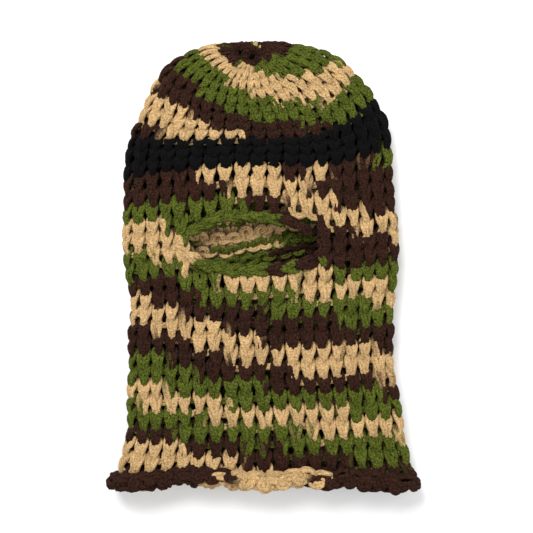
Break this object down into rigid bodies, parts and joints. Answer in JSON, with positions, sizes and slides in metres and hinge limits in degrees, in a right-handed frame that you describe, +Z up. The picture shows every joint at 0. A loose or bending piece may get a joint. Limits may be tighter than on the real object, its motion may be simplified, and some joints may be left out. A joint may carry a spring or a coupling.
{
  "type": "face mask",
  "caption": "Chunky loom-knitted balaclava face mask in camouflage-dyed yarn, with an eye slit, a gathered crown and a rolled hem, laid flat on its back.",
  "frame": {"origin": "centre of the outline, on the surface that the mask lies on", "axes": "+Z up, out of the mask's face; +Y from the hem to the crown; +X to the right of someone looking at the face"},
  "size_m": [0.275, 0.403, 0.038],
  "materials": {
    "camo_yarn": "soft matt two-strand chunky yarn, space-dyed in dark brown, moss green and sand",
    "black_yarn": "soft matt two-strand chunky yarn, black"
  },
  "bodies": {
    "root": {"hem_roll": "camo_yarn", "neck_tube": "camo_yarn", "eye_level_panel": "camo_yarn", "lower_lip": "camo_yarn", "upper_lip": "camo_yarn", "left_corner_stitches": "camo_yarn", "right_corner_stitches": "camo_yarn", "brow_band": "camo_yarn", "black_band": "black_yarn", "crown": "camo_yarn", "gathered_top": "camo_yarn", "draw_yarn": "camo_yarn", "draw_yarn_knot": "camo_yarn", "cast_on_tail": "camo_yarn", "lower_lip_tail": "camo_yarn", "upper_lip_tail": "camo_yarn", "black_yarn_tail": "black_yarn"}
  },
  "joints": []
}
